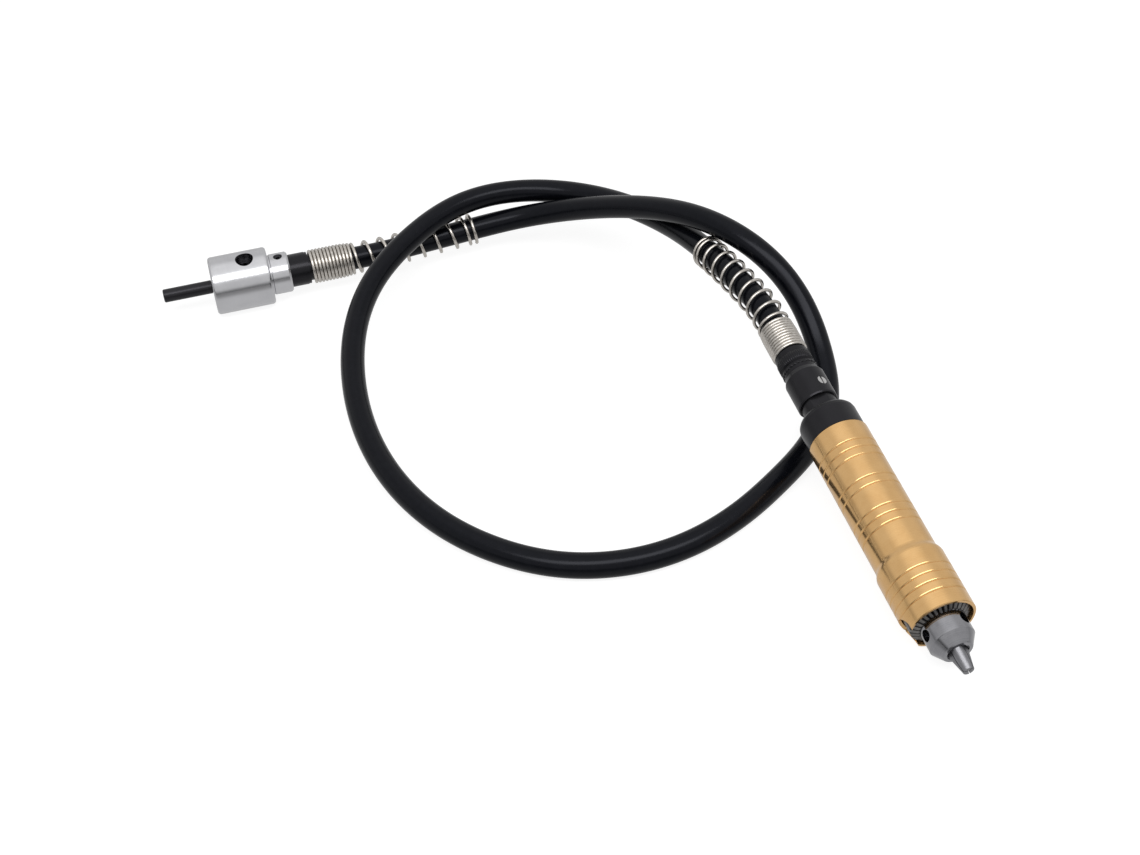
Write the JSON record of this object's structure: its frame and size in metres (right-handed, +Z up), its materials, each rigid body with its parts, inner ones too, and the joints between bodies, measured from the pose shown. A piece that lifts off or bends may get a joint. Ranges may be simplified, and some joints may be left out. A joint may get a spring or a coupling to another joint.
{
  "type": "rotary tool with flex shaft",
  "caption": "Flexible drive shaft in a black sheath with a drive coupler at one end and a slim turned handpiece with a keyed chuck at the other.",
  "frame": {"origin": "middle of the object's footprint on the floor, measured without the sheath and what is inside it", "axes": "+X along the coupler from its drive shaft toward the sheath, -Y toward the handpiece's nose, +Z up from the floor"},
  "size_m": [0.2661, 0.3192, 0.0527],
  "materials": {
    "coupler_aluminium": "satin",
    "bronze": "satin",
    "black_steel": "satin black oxide",
    "screw_steel": "satin",
    "spring_steel": "polished",
    "core_steel": "satin",
    "sheath_rubber": "satin",
    "gold_anodised": "satin gold anodised",
    "bearing_steel": "polished",
    "chuck_steel": "satin"
  },
  "bodies": {
    "housing": {"coupler_body": "coupler_aluminium", "drive_bush": "bronze", "neck_screw": "screw_steel", "drive_ferrule": "black_steel", "drive_spring": "spring_steel", "sheath": "sheath_rubber", "sheath_liner": "core_steel", "flex_core": "core_steel", "handle_spring": "spring_steel", "handle_ferrule": "black_steel", "lock_sleeve": "black_steel", "sleeve_screw": "screw_steel", "rear_neck": "black_steel", "rear_cap": "black_steel", "handle_shell": "gold_anodised", "rear_bearing_outer": "bearing_steel", "rear_bearing_balls": "bearing_steel", "front_bearing_outer": "bearing_steel", "front_bearing_balls": "bearing_steel", "wave_washer": "spring_steel", "circlip": "black_steel"},
    "drive": {"drive_shaft": "black_steel", "hub_screw": "screw_steel", "drive_terminal": "core_steel"},
    "spindle": {"spindle": "core_steel", "rear_bearing_inner": "bearing_steel", "front_bearing_inner": "bearing_steel", "core_key": "core_steel", "chuck_body": "chuck_steel"},
    "ring": {"chuck_ring": "chuck_steel", "chuck_nut_half_1": "chuck_steel", "chuck_nut_half_2": "chuck_steel"},
    "jaw_1": {"jaw_1": "chuck_steel"},
    "jaw_2": {"jaw_2": "chuck_steel"},
    "jaw_3": {"jaw_3": "chuck_steel"}
  },
  "joints": [
    {"name": "spindle_spin", "type": "hinge", "parent": "housing", "child": "spindle", "pos_m": [0.11618, -0.11341, 0.01707], "axis": [0.0655, -0.9861, -0.153], "continuous": true},
    {"name": "drive_spin", "type": "hinge", "parent": "housing", "child": "drive", "pos_m": [-0.11, 0.146, 0.013], "axis": [1, 0, 0], "continuous": true},
    {"name": "ring_turn", "type": "hinge", "parent": "spindle", "child": "ring", "pos_m": [0.11618, -0.11341, 0.01707], "axis": [0.0655, -0.9861, -0.153], "range_deg": [0, 3024]},
    {"name": "jaw_1_slide", "type": "slide", "parent": "spindle", "child": "jaw_1", "axis": [-0.131, 0.9235, 0.3605], "range_m": [0, 0.0084]},
    {"name": "jaw_2_slide", "type": "slide", "parent": "spindle", "child": "jaw_2", "axis": [-0.2157, 0.9763, -0.0161], "range_m": [0, 0.0084]},
    {"name": "jaw_3_slide", "type": "slide", "parent": "spindle", "child": "jaw_3", "axis": [0.1553, 0.9825, 0.1028], "range_m": [0, 0.0084]}
  ],
  "couplings": [
    {"joint": "drive_spin", "follows": "spindle_spin", "ratio": 1},
    {"joint": "jaw_1_slide", "follows": "ring_turn", "m_per_rad": 0.00015915},
    {"joint": "jaw_2_slide", "follows": "ring_turn", "m_per_rad": 0.00015915},
    {"joint": "jaw_3_slide", "follows": "ring_turn", "m_per_rad": 0.00015915}
  ]
}
